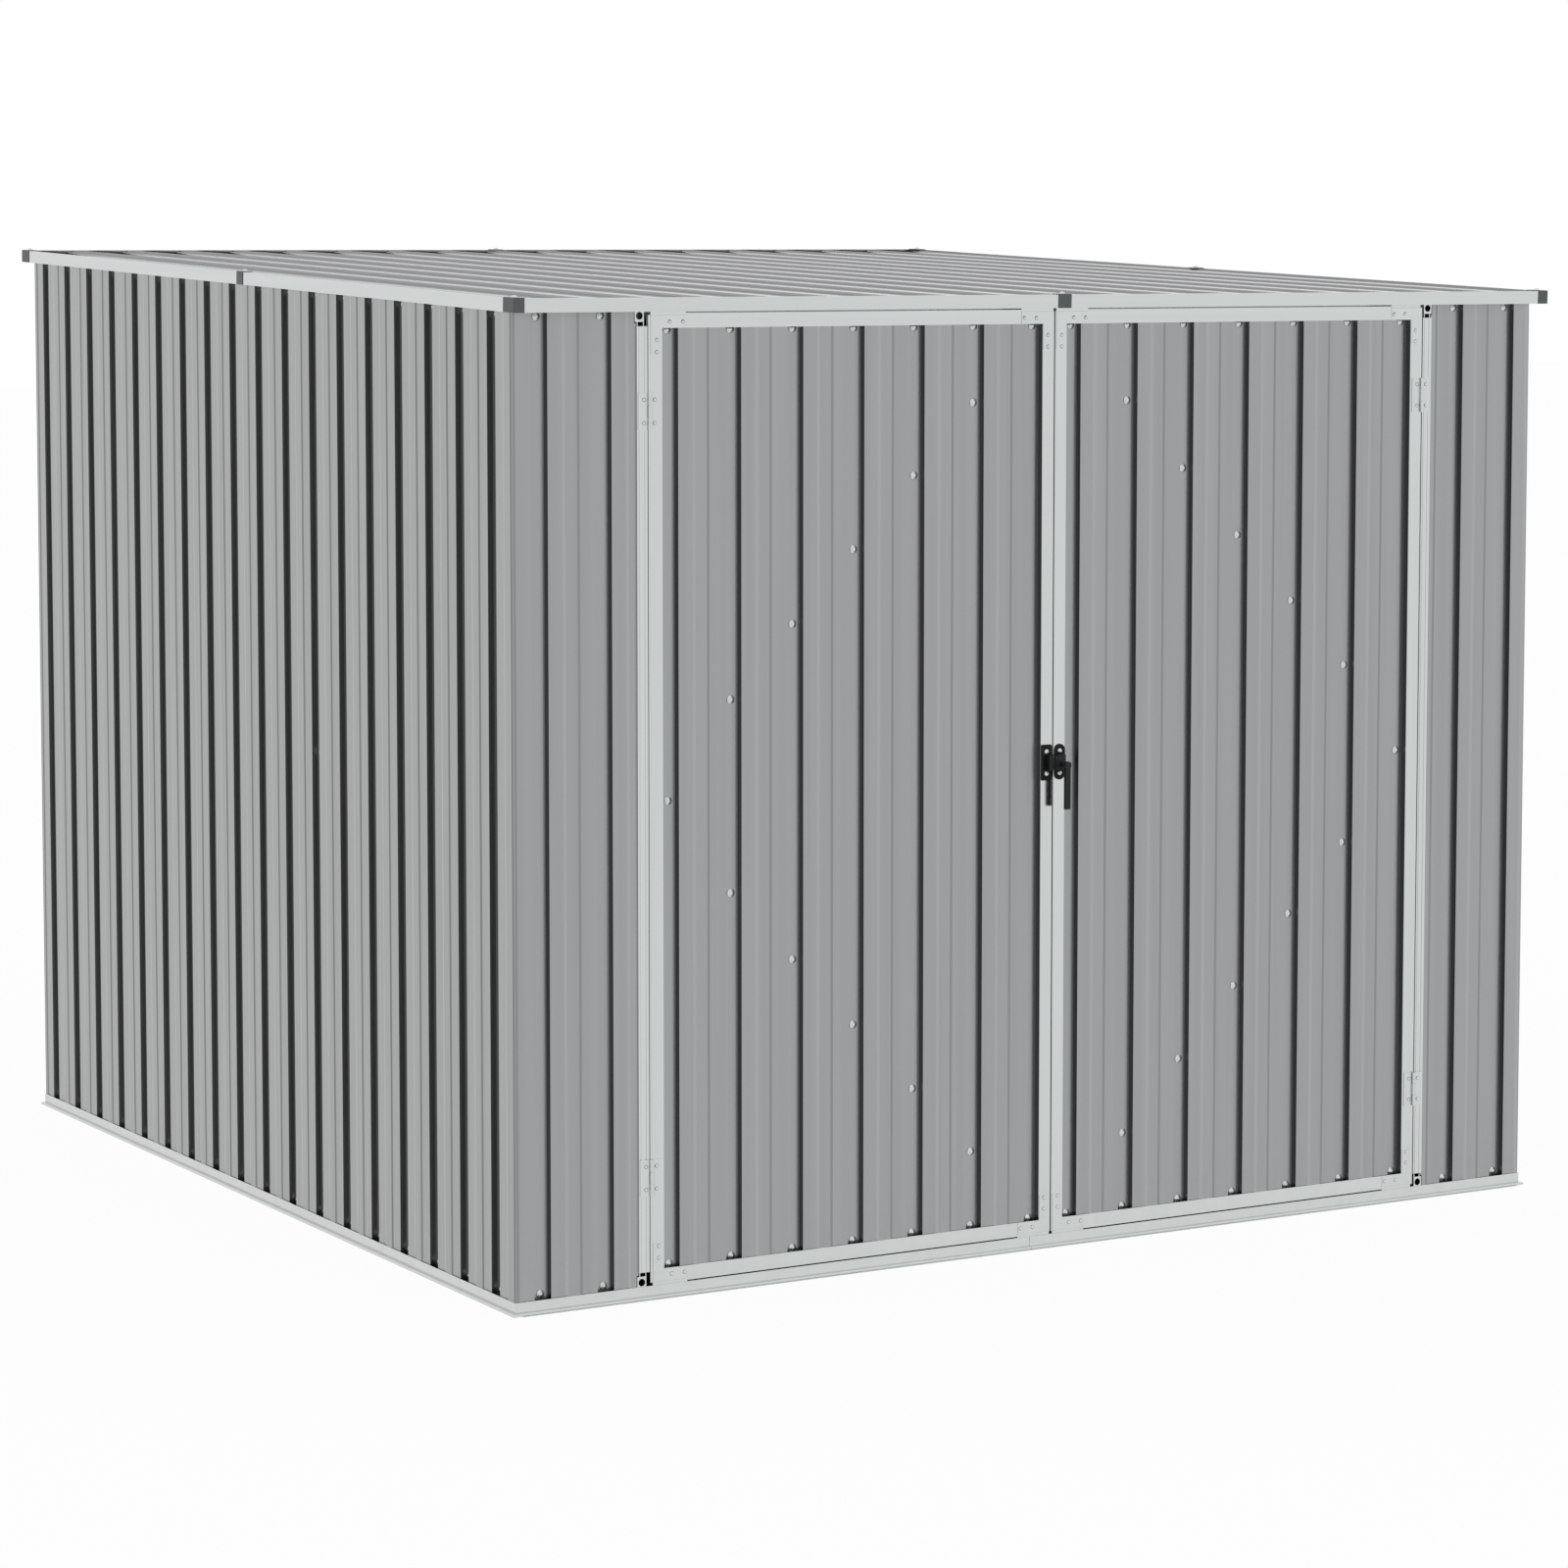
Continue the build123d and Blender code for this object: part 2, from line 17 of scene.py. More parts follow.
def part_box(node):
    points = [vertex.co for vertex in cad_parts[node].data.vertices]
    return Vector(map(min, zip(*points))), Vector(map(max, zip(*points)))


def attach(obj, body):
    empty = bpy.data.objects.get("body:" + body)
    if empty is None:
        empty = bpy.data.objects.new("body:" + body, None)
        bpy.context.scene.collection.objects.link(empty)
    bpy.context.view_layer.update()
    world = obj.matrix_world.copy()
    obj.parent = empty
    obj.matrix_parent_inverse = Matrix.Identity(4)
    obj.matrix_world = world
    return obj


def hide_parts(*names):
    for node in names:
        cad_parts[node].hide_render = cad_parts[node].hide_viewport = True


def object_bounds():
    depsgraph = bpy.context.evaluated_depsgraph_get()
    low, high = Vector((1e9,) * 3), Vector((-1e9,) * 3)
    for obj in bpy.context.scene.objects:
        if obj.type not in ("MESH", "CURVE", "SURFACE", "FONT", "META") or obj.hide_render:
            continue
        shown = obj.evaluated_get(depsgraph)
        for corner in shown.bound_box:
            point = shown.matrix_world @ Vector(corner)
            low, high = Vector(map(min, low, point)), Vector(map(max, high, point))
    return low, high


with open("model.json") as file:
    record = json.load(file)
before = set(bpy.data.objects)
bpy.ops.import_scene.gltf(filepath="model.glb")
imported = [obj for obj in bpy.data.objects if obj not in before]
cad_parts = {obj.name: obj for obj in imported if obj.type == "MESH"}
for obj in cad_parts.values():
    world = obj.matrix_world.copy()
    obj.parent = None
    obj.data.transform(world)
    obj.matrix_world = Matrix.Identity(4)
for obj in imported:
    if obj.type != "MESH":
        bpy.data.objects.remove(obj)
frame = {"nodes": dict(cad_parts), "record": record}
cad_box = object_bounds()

MM = 0.001

# %% [markdown]
# ## Camera
# The shed is seen from a person's eye height, about eight metres away, thirty degrees round
# from the front. A long lens keeps its upright edges nearly parallel. The shed could be
# brought into view by tilting alone, but then the walls would lean, so a small downward
# shift of the lens does part of the work, as on an architect's camera.
# %% Camera
camera_place = Vector((-3.96433, -6.96251, 1.60383))
camera_turn = radians(30.101)
camera_dip = radians(4.866)
lens_length = 104.552
sensor_width = 36
lens_shift = -0.10

camera_data = bpy.data.cameras.new("camera")
camera_data.lens = lens_length
camera_data.sensor_width = sensor_width
camera_data.shift_y = lens_shift
camera = bpy.data.objects.new("camera", camera_data)
camera.location = camera_place
camera.rotation_euler = (pi / 2 - camera_dip, 0, -camera_turn)
bpy.context.scene.collection.objects.link(camera)
bpy.context.scene.camera = camera
print("camera", round(camera_place.length, 2), "m from the origin")

# %% [markdown]
# ## Floor and backdrop
# A product picture stands on white paper. A real sheet of paper would have to be lit far
# above the object to turn white. Here the eye and the mirror-like paint see most of the
# paper's white as its own glow, while the rest still shows the shed's soft shadow. The
# ground inside the shed doesn't glow. Light that lands on the shed comes only from the
# world and the lamps.
# %% White for the eye and for reflections
def math_node(tree, operation, first, second=None, third=None):
    """One Math node. Each value is a socket or a number."""
    node = tree.nodes.new("ShaderNodeMath")
    node.operation = operation
    for place, value in enumerate((first, second, third)):
        if value is None:
            continue
        if isinstance(value, (int, float)):
            node.inputs[place].default_value = value
        else:
            tree.links.new(value, node.inputs[place])
    return node.outputs[0]


def seen_ray(tree):
    """1 for a ray from the camera or from a mirror or glass, 0 for a ray that gathers light."""
    path = tree.nodes.new("ShaderNodeLightPath")
    seen = path.outputs["Is Camera Ray"]
    for other in ("Is Glossy Ray", "Is Transmission Ray"):
        seen = math_node(tree, "MAXIMUM", seen, path.outputs[other])
    return seen


def fresh_material(name):
    """An empty node material, its nodes, its links and its output."""
    material = bpy.data.materials.new(name)
    material.use_nodes = True
    nodes = material.node_tree.nodes
    nodes.clear()
    output = nodes.new("ShaderNodeOutputMaterial")
    return material, nodes, material.node_tree.links, output


# %% Floor
paper_grey = 0.86
paper_glow_share = 0.95
floor_side = 80
room_edge = 0.02

paper, nodes, links, output = fresh_material("white_paper")
tree = paper.node_tree
lit = nodes.new("ShaderNodeBsdfDiffuse")
lit.inputs["Color"].default_value = (paper_grey, paper_grey, paper_grey, 1)
glow = nodes.new("ShaderNodeEmission")
blend = nodes.new("ShaderNodeMixShader")

place = nodes.new("ShaderNodeSeparateXYZ")
links.new(nodes.new("ShaderNodeTexCoord").outputs["Object"], place.inputs[0])
outside = []
for axis, reach in (("X", cad_box[1].x), ("Y", cad_box[1].y)):
    away = math_node(tree, "ABSOLUTE", place.outputs[axis])
    outside.append(math_node(tree, "GREATER_THAN", away, reach - room_edge))
glowing = math_node(tree, "MULTIPLY", seen_ray(tree), math_node(tree, "MAXIMUM", *outside))
links.new(math_node(tree, "MULTIPLY", glowing, paper_glow_share), blend.inputs["Fac"])
links.new(lit.outputs[0], blend.inputs[1])
links.new(glow.outputs[0], blend.inputs[2])
links.new(blend.outputs[0], output.inputs["Surface"])

shape = bmesh.new()
bmesh.ops.create_grid(shape, x_segments=1, y_segments=1, size=floor_side / 2)
floor_mesh = bpy.data.meshes.new("floor")
shape.to_mesh(floor_mesh)
shape.free()
floor = bpy.data.objects.new("floor", floor_mesh)
floor_mesh.materials.append(paper)
bpy.context.scene.collection.objects.link(floor)
print("floor", floor_side, "m wide")

# %% [markdown]
# ## Light
# Painted sheet is judged by what it mirrors, so the studio is a plain white world. The left
# wall is lighter than the front in the photograph and lightens towards the back. No lamp is
# needed for that: the wall is seen at a flatter angle there, and metallic paint mirrors more
# at a flat angle. Two weak lamps only round off the screw heads and the latch.
# The side walls' paint is also set a little lighter than the front's, as painted light.
# %% World
gather_strength = 0.85

world = bpy.data.worlds.new("white_studio")
bpy.context.scene.world = world
world.use_nodes = True
nodes = world.node_tree.nodes
links = world.node_tree.links
nodes.clear()
output = nodes.new("ShaderNodeOutputWorld")
gather = nodes.new("ShaderNodeBackground")
gather.inputs["Strength"].default_value = gather_strength
white = nodes.new("ShaderNodeBackground")
for background in (gather, white):
    background.inputs["Color"].default_value = (1, 1, 1, 1)
blend = nodes.new("ShaderNodeMixShader")
links.new(seen_ray(world.node_tree), blend.inputs["Fac"])
links.new(gather.outputs[0], blend.inputs[1])
links.new(white.outputs[0], blend.inputs[2])
links.new(blend.outputs[0], output.inputs["Surface"])


# %% Lamps
def soft_lamp(name, place, aim, size, power):
    """A square soft lamp that looks from its place at the aim."""
    data = bpy.data.lights.new(name, "AREA")
    data.shape = "SQUARE"
    data.size = size
    data.energy = power
    lamp = bpy.data.objects.new(name, data)
    lamp.matrix_world = Matrix.Translation(place) @ (
        Vector(place) - Vector(aim)).to_track_quat("Z", "Y").to_matrix().to_4x4()
    lamp.visible_camera = False
    bpy.context.scene.collection.objects.link(lamp)


shed_middle = (0, 0, 0.8)
soft_lamp("left_lamp", (-8, 8, 3), shed_middle, size=6, power=4)
soft_lamp("front_lamp", (5, -7, 3), shed_middle, size=3, power=2)
bpy.context.scene.view_settings.view_transform = "Standard"
print("world at", gather_strength, "with", len(bpy.data.lights), "lamps")

# %% [markdown]
# ## Effects that several finishes share
# Each effect is one shader node group that gives masks, values or a bump height, so that a
# finish can take it at its own strength. Everything reads Object coordinates. A node's
# object sits at the origin, so one unit is one metre of steel and a pattern stays where it
# is when a door swings.
# %% Helpers for node groups
def new_group(name, inputs, outputs):
    """A shader node group. Each input has a name, a kind and a default, each output a name
    and a kind."""
    tree = bpy.data.node_groups.new(name, "ShaderNodeTree")
    for label, kind, default in inputs:
        socket = tree.interface.new_socket(label, in_out="INPUT", socket_type=kind)
        socket.default_value = default
    for label, kind in outputs:
        tree.interface.new_socket(label, in_out="OUTPUT", socket_type=kind)
    entry = tree.nodes.new("NodeGroupInput")
    leave = tree.nodes.new("NodeGroupOutput")
    return tree, entry, leave


def ramp(tree, value, low, high, start=0, end=1):
    """Map a value smoothly from one range to another and hold it at the ends."""
    node = tree.nodes.new("ShaderNodeMapRange")
    node.interpolation_type = "SMOOTHSTEP"
    tree.links.new(value, node.inputs["Value"])
    limits = {"From Min": low, "From Max": high, "To Min": start, "To Max": end}
    for label, number in limits.items():
        node.inputs[label].default_value = number
    return node.outputs["Result"]


def noise(tree, coordinates, scale, detail=2, stretch=None):
    """Noise of so many grains to the metre, drawn out along the axis that stretch shrinks."""
    node = tree.nodes.new("ShaderNodeTexNoise")
    node.inputs["Scale"].default_value = scale
    node.inputs["Detail"].default_value = detail
    if stretch:
        mapping = tree.nodes.new("ShaderNodeMapping")
        mapping.inputs["Scale"].default_value = stretch
        tree.links.new(coordinates, mapping.inputs["Vector"])
        coordinates = mapping.outputs[0]
    tree.links.new(coordinates, node.inputs["Vector"])
    return node.outputs["Fac"]


# %% [markdown]
# ### Roll marks
# Sheet and rails are pulled through rollers, which leave faint streaks along their length.
# Noise squeezed across the run and drawn out along it gives the same lines. The group takes
# a vector whose long axis is already Z, so each finish turns its own coordinates first.
# %% Roll marks
streak_stretch = (1, 1, 0.012)
fine_streak_scale = 260
broad_streak_scale = 34

roll_marks, entry, leave = new_group(
    "roll_marks", [("Run", "NodeSocketVector", (0, 0, 0))],
    [("Fine", "NodeSocketFloat"), ("Broad", "NodeSocketFloat")])
fine = noise(roll_marks, entry.outputs["Run"], fine_streak_scale, 3, streak_stretch)
broad = noise(roll_marks, entry.outputs["Run"], broad_streak_scale, 2, streak_stretch)
roll_marks.links.new(fine, leave.inputs["Fine"])
roll_marks.links.new(broad, leave.inputs["Broad"])
print(roll_marks.name, len(roll_marks.nodes), "nodes")

# %% [markdown]
# ### Paint skin
# Sprayed paint dries with a skin like orange peel: low hills a few millimetres apart. The
# hills are too low to see as shapes, but they break the edge of a reflection. One noise at
# two sizes gives their height.
# %% Paint skin
peel_scale = 420
sag_scale = 38
sag_share = 0.5

paint_skin, entry, leave = new_group(
    "paint_skin", [("Place", "NodeSocketVector", (0, 0, 0))],
    [("Height", "NodeSocketFloat"), ("Patch", "NodeSocketFloat")])
peel = noise(paint_skin, entry.outputs["Place"], peel_scale, 2)
sag = noise(paint_skin, entry.outputs["Place"], sag_scale, 3)
hills = math_node(paint_skin, "MULTIPLY_ADD", sag, sag_share, peel)
paint_skin.links.new(hills, leave.inputs["Height"])
paint_skin.links.new(sag, leave.inputs["Patch"])
print(paint_skin.name, len(paint_skin.nodes), "nodes")

# %% [markdown]
# ### Dust and splash
# A shed gathers a film of dust on what faces up, and rain splashes soil against the lowest
# hand's breadth of its walls. The surface's own direction gives the first mask and its
# height above ground the second, both broken up by noise so that no edge is straight.
# %% Dust and splash
splash_top = 0.16
splash_start, splash_full = 0.35, 0.75
dust_grain = 55
slope_start, slope_full = 0.5, 1.0

weather, entry, leave = new_group(
    "weather",
    [("Place", "NodeSocketVector", (0, 0, 0)), ("Facing", "NodeSocketVector", (0, 0, 0))],
    [("Dust", "NodeSocketFloat"), ("Splash", "NodeSocketFloat")])
split = weather.nodes.new("ShaderNodeSeparateXYZ")
weather.links.new(entry.outputs["Place"], split.inputs[0])
up = weather.nodes.new("ShaderNodeSeparateXYZ")
weather.links.new(entry.outputs["Facing"], up.inputs[0])
broken = noise(weather, entry.outputs["Place"], dust_grain, 4)
settled = ramp(weather, up.outputs["Z"], slope_start, slope_full)
weather.links.new(math_node(weather, "MULTIPLY", settled, broken), leave.inputs["Dust"])
low = ramp(weather, split.outputs["Z"], 0, splash_top, 1, 0)
drops = ramp(weather, broken, splash_start, splash_full)
weather.links.new(math_node(weather, "MULTIPLY", low, drops), leave.inputs["Splash"])
print(weather.name, len(weather.nodes), "nodes")

# %% [markdown]
# ### Valley flanks
# The steep flanks of the valleys get a colour of their own, painted into the finish: almost
# black on the walls, as painted shade for each one mirroring only the shaded flank across
# from it, and pale on the roof, as a painted highlight for flanks that look up at the sky. The
# surface's own direction finds them: a flank faces along the wall, everything else faces out
# of it. The shallow bands in the pans have steps that turn only a few degrees. The same
# direction finds those too, and draws painted shade on one side and a painted highlight on the
# other.
# %% Valley flanks
flank_start = 0.5
flank_full = 0.9
step_start = 0.07
step_full = 0.13

fold_painted_light, entry, leave = new_group(
    "fold_painted_light",
    [("Facing", "NodeSocketVector", (0, 0, 0)), ("Along", "NodeSocketVector", (1, 0, 0))],
    [("Flank", "NodeSocketFloat"), ("Shaded", "NodeSocketFloat"), ("Lit", "NodeSocketFloat")])
turned = fold_painted_light.nodes.new("ShaderNodeVectorMath")
turned.operation = "DOT_PRODUCT"
fold_painted_light.links.new(entry.outputs["Facing"], turned.inputs[0])
fold_painted_light.links.new(entry.outputs["Along"], turned.inputs[1])
tilt = turned.outputs["Value"]
steep = math_node(fold_painted_light, "ABSOLUTE", tilt)
# Flank is painted shade on the walls and a painted highlight on the roof; Shaded and Lit are
# painted shade and a painted highlight on the steps.
masks = {"Flank": ramp(fold_painted_light, steep, flank_start, flank_full),
         "Shaded": ramp(fold_painted_light, tilt, step_start, step_full),
         "Lit": ramp(fold_painted_light, tilt, -step_full, -step_start, 1, 0)}
for label, mask in masks.items():
    fold_painted_light.links.new(mask, leave.inputs[label])
print(fold_painted_light.name, len(fold_painted_light.nodes), "nodes")


# %% [markdown]
# ## Finishes
# The sheets carry metallic grey paint: in the photograph they mirror the studio like dull
# metal, and the latch lever shows as a sharp dark reflection in the stile behind it. So the
# base is metal, not a white-lit plastic, with a roughness low enough for such a reflection.
# One function builds every metal finish, because they differ only in values: colour, shine,
# the direction they were rolled in and how strongly each shared effect shows.
# %% A function for rolled and painted metal
run_turns = {"x": (0, pi / 2, 0), "y": (pi / 2, 0, 0), "z": (0, 0, 0)}
broad_start, broad_full = 0.3, 0.7
fine_start, fine_full = 0.35, 0.65
streak_bump = 0.5
dust_colour = (0.40, 0.39, 0.36, 1)
soil_colour = (0.20, 0.17, 0.13, 1)
# The paler side of each shallow step is a painted highlight.
step_painted_highlight = 1.10
latch_plate = 1.5 * MM
plate_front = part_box("latch_case")[1].y - latch_plate
rub_start = plate_front - 0.2 * MM
rub_full = plate_front - 2.5 * MM


def mix_colour(tree, factor, first, second):
    """Blend two colours, each a socket or four numbers, by a factor socket."""
    node = tree.nodes.new("ShaderNodeMix")
    node.data_type = "RGBA"
    tree.links.new(factor, node.inputs["Factor"])
    for label, value in (("A", first), ("B", second)):
        socket = [s for s in node.inputs if s.name == label and s.type == "RGBA"][0]
        if isinstance(value, tuple):
            socket.default_value = value
        else:
            tree.links.new(value, socket)
    return [s for s in node.outputs if s.type == "RGBA"][0]


def shade(colour, factor):
    """The same colour, darker or lighter, as four numbers."""
    return tuple(part * factor for part in colour[:3]) + (1,)


def place_group(tree, group, place):
    """Put a shared effect into a material and feed it coordinates."""
    node = tree.nodes.new("ShaderNodeGroup")
    node.node_tree = group
    tree.links.new(place, node.inputs[0])
    return node


def worn_tone(tree, colour, marks, film, streak, dust, splash):
    """The paint's colour with its broad roll marks, its dust and its splashed soil."""
    lines = ramp(tree, marks.outputs["Broad"], broad_start, broad_full)
    tone = mix_colour(tree, lines, shade(colour, 1 - streak), shade(colour, 1 + streak))
    for label, strength, dirt in (("Dust", dust, dust_colour), ("Splash", splash, soil_colour)):
        share = math_node(tree, "MULTIPLY", film.outputs[label], strength)
        tone = mix_colour(tree, share, tone, dirt)
    return tone


def painted_fold_tone(tree, tone, colour, facing, flanks, flank_painted_light, step_painted_shade):
    """The tone with painted shade and painted highlights on the steep flanks and shallow steps of
    a ribbed sheet.
    """
    folds = place_group(tree, fold_painted_light, facing)
    folds.inputs["Along"].default_value = flanks
    # Painted shade and painted highlights go into the colour here.
    for mask, share in (("Shaded", step_painted_shade), ("Lit", step_painted_highlight), ("Flank", flank_painted_light)):
        tone = mix_colour(tree, folds.outputs[mask], tone, shade(colour, share))
    return tone


def rubbed_tone(tree, tone, coordinates, rubbed):
    """The tone with a paler one on what stands out in front of the latch plates."""
    split = tree.nodes.new("ShaderNodeSeparateXYZ")
    tree.links.new(coordinates, split.inputs[0])
    proud = ramp(tree, split.outputs["Y"], rub_full, rub_start, 1, 0)
    return mix_colour(tree, proud, tone, rubbed)


def metal_finish(name, colour, run, metallic, roughness, streak, peel_height, dust, splash,
                 gloss=0.5, flanks=None, flank_painted_light=1, step_painted_shade=0.76, edge_tint=1, rubbed=None):
    """Metal, paint or plastic. Streak, dust and splash are strengths from 0 to 1. Flanks is
    the direction that a ribbed sheet's flanks face. The flank factor scales the colour of those
    flanks, below 1 for painted shade and above 1 for a painted highlight, and the step factor is
    the painted shade on the shaded side of its shallow steps. Rubbed is the colour of what stands
    out in front of the latch plates."""
    material, nodes, links, output = fresh_material(name)
    tree = material.node_tree
    where = nodes.new("ShaderNodeTexCoord")
    coordinates = where.outputs["Object"]
    turn = nodes.new("ShaderNodeMapping")
    turn.inputs["Rotation"].default_value = run_turns[run]
    links.new(coordinates, turn.inputs["Vector"])
    marks = place_group(tree, roll_marks, turn.outputs[0])
    skin = place_group(tree, paint_skin, coordinates)
    film = place_group(tree, weather, coordinates)
    links.new(where.outputs["Normal"], film.inputs["Facing"])

    tone = worn_tone(tree, colour, marks, film, streak, dust, splash)
    if flanks:
        tone = painted_fold_tone(tree, tone, colour, where.outputs["Normal"], flanks, flank_painted_light,
                           step_painted_shade)
    if rubbed:
        tone = rubbed_tone(tree, tone, coordinates, rubbed)

    surface = nodes.new("ShaderNodeBsdfPrincipled")
    surface.inputs["Metallic"].default_value = metallic
    surface.inputs["Specular Tint"].default_value = (edge_tint, edge_tint, edge_tint, 1)
    surface.inputs["Specular IOR Level"].default_value = gloss
    links.new(tone, surface.inputs["Base Color"])
    fine = ramp(tree, marks.outputs["Fine"], fine_start, fine_full, -streak / 2, streak / 2)
    rough = math_node(tree, "ADD", fine, roughness)
    rough = math_node(tree, "MULTIPLY_ADD", skin.outputs["Patch"], streak, rough)
    rough = math_node(tree, "MULTIPLY_ADD", film.outputs["Dust"], dust, rough)
    links.new(rough, surface.inputs["Roughness"])

    height = math_node(tree, "MULTIPLY_ADD", marks.outputs["Fine"], streak_bump,
                       skin.outputs["Height"])
    bump = nodes.new("ShaderNodeBump")
    bump.inputs["Strength"].default_value = 1
    bump.inputs["Distance"].default_value = peel_height
    links.new(height, bump.inputs["Height"])
    links.new(bump.outputs[0], surface.inputs["Normal"])
    links.new(surface.outputs[0], output.inputs["Surface"])
    return material


# %% [markdown]
# ### Which way each piece was rolled
# Walls and posts run up, the roof and the side rails run front to back, and the front and
# back rails run across. The longest side of a node's box says which, except for walls and
# doors, whose sheets stand upright however wide they are, and for the roof sheets. The side
# walls get a lighter, slightly less blue copy of the front's paint as painted light, with
# lighter painted shade on their flanks and darker painted shade on their steps.
# %% Paint, zinc and plastic for the nodes
# The flank factor is painted shade on the walls' flanks (0.30) and a painted highlight on the
# roof's (2.3).
finish_values = {
    "grey_sheet_paint": dict(colour=(0.352, 0.357, 0.366, 1), metallic=1.0, roughness=0.29,
                             streak=0.03, peel_height=0.00002, dust=0.1, splash=0.06,
                             flank_painted_light=0.30),
    "grey_roof_paint": dict(colour=(0.345, 0.350, 0.358, 1), metallic=1.0, roughness=0.24,
                            streak=0.03, peel_height=0.00002, dust=0.12, splash=0,
                            flank_painted_light=2.3, edge_tint=0.45),
    "light_frame_paint": dict(colour=(0.605, 0.630, 0.625, 1), metallic=1.0, roughness=0.12,
                              streak=0.02, peel_height=0.00001, dust=0.06, splash=0.05),
    "zinc_steel": dict(colour=(0.60, 0.64, 0.64, 1), metallic=1.0, roughness=0.28,
                       streak=0.06, peel_height=0.00002, dust=0.08, splash=0.04),
    "dark_cap_plastic": dict(colour=(0.103, 0.112, 0.113, 1), metallic=0.0, roughness=0.45,
                             streak=0.04, peel_height=0.00005, dust=0.05, splash=0, gloss=0.25),
    "black_latch": dict(colour=(0.0025, 0.003, 0.003, 1), metallic=0.0, roughness=0.38,
                        streak=0.08, peel_height=0.00004, dust=0.005, splash=0, gloss=0.2,
                        rubbed=(0.016, 0.018, 0.018, 1)),
}
# The side walls: a lighter copy of the paint as painted light, and their own painted shade on
# flanks and steps.
side_wall_painted_light = dict(colour=(0.372, 0.381, 0.378, 1), flank_painted_light=0.42, step_painted_shade=0.58)
# The direction that the side of the shallow steps with painted shade faces.
painted_shade_side_of_steps = {"x": (1, 0, 0), "y": (0, -1, 0)}
upright_ends = ("wall_left", "wall_right", "wall_back", "sheet")
made_finishes = {}


def run_of(node):
    """The axis a piece was rolled along."""
    if node.startswith("roof_sheet"):
        return "y"
    if node.endswith(upright_ends) or node.startswith("front_strip"):
        return "z"
    low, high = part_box(node)
    size = high - low
    return "xyz"[max(range(3), key=lambda axis: size[axis])]


def flanks_of(node):
    """The axis that the flanks of a ribbed sheet face, or an empty string for other pieces."""
    if slot_of[node] not in ("grey_sheet_paint", "grey_roof_paint"):
        return ""
    return "y" if node in ("wall_left", "wall_right") else "x"


def finish(slot, run, flanks=""):
    """The material of a slot for pieces rolled along one axis, built when first asked for."""
    key = "_".join(word for word in (slot, run, flanks) if word)
    if key not in made_finishes:
        values = dict(finish_values[slot], flanks=painted_shade_side_of_steps.get(flanks))
        if slot == "grey_sheet_paint" and flanks == "y":
            values.update(side_wall_painted_light)
        made_finishes[key] = metal_finish(key, run=run, **values)
    return made_finishes[key]


slot_of = {part["node"]: part["material_slot"] for part in frame["record"]["subparts"]}
for node, slot in slot_of.items():
    for material_slot in frame["nodes"][node].material_slots:
        material_slot.material = finish(slot, run_of(node), flanks_of(node))
print(len(made_finishes), "finishes on", len(slot_of), "nodes")


# %% [markdown]
# ## Roof sheets under the rails' lips
# On the real shed the roof sheets slide under the lips of the edge rails, so their pans lie
# level with the lips, and the rails hide none of the roof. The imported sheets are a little
# lower. A copy of each one is stretched upwards from the flange that it lies on, square to
# the slope, until it reaches the lips. The flat bottoms of its valleys stay where they rest.
# %% The slope of the roof
sheet_bed = 1.5 * MM
packed_height = 10.8 * MM
lip_underside = 19.5 * MM
lip_clear = 0.1 * MM
weld_reach = 0.01 * MM
flat_angle = radians(0.5)

rail_low, rail_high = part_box("roof_rail_left")
back_rail_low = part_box("roof_rail_back")[0]
roof_corner = Vector((rail_low.x, -rail_high.y, rail_low.z))
roof_fall = (back_rail_low.z - roof_corner.z) / (back_rail_low.y - roof_corner.y)
roof_turn = atan(roof_fall)
roof_place = Matrix.Translation(roof_corner) @ Matrix.Rotation(roof_turn, 4, "X")
roof_size = Vector((-2 * rail_low.x, 2 * rail_high.y / cos(roof_turn), 0))
print("roof falls", round(roof_turn * 180 / pi, 2), "degrees to the front")

# %% Taller copies of the roof sheets
def put_in_scene(name, shape, material, body):
    """Turn a bmesh into a piece with one material that rides on a body."""
    bmesh.ops.recalc_face_normals(shape, faces=shape.faces)
    mesh = bpy.data.meshes.new(name)
    shape.to_mesh(mesh)
    shape.free()
    mesh.materials.append(material)
    piece = bpy.data.objects.new(name, mesh)
    bpy.context.scene.collection.objects.link(piece)
    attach(piece, body)
    print(name, len(mesh.polygons), "faces")
    return piece


lift = (lip_underside - sheet_bed - lip_clear) / packed_height
bed_place = roof_place @ Matrix.Translation((0, 0, sheet_bed))
stretch_up = bed_place @ Matrix.Diagonal((1, 1, lift, 1)) @ bed_place.inverted()
for side in ("left", "right"):
    shape = bmesh.new()
    shape.from_mesh(frame["nodes"][f"roof_sheet_{side}"].data)
    bmesh.ops.remove_doubles(shape, verts=shape.verts, dist=weld_reach)
    bmesh.ops.dissolve_limit(shape, angle_limit=flat_angle, verts=shape.verts, edges=shape.edges)
    bmesh.ops.transform(shape, matrix=stretch_up, verts=shape.verts)
    sheet = put_in_scene(f"roof_panel_{side}", shape, finish("grey_roof_paint", "y", "x"),
                         "shell")
    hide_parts(f"roof_sheet_{side}")

# %% [markdown]
# ### Foam and painted shade in the valley ends
# Dark foam plugs close the valleys of the roof where they run under the rails. At the back
# they are long and fill the valleys to the top, so that from the front they make the row of
# black wedges along the back edge: partly foam and partly painted shade for the shaded valley
# ends. The front ones are short and hide behind the rail. A plug is a block with rounded edges.
# %% Foam plugs that also stand in for shade
foam_grain = 900
foam_rough = 0.9
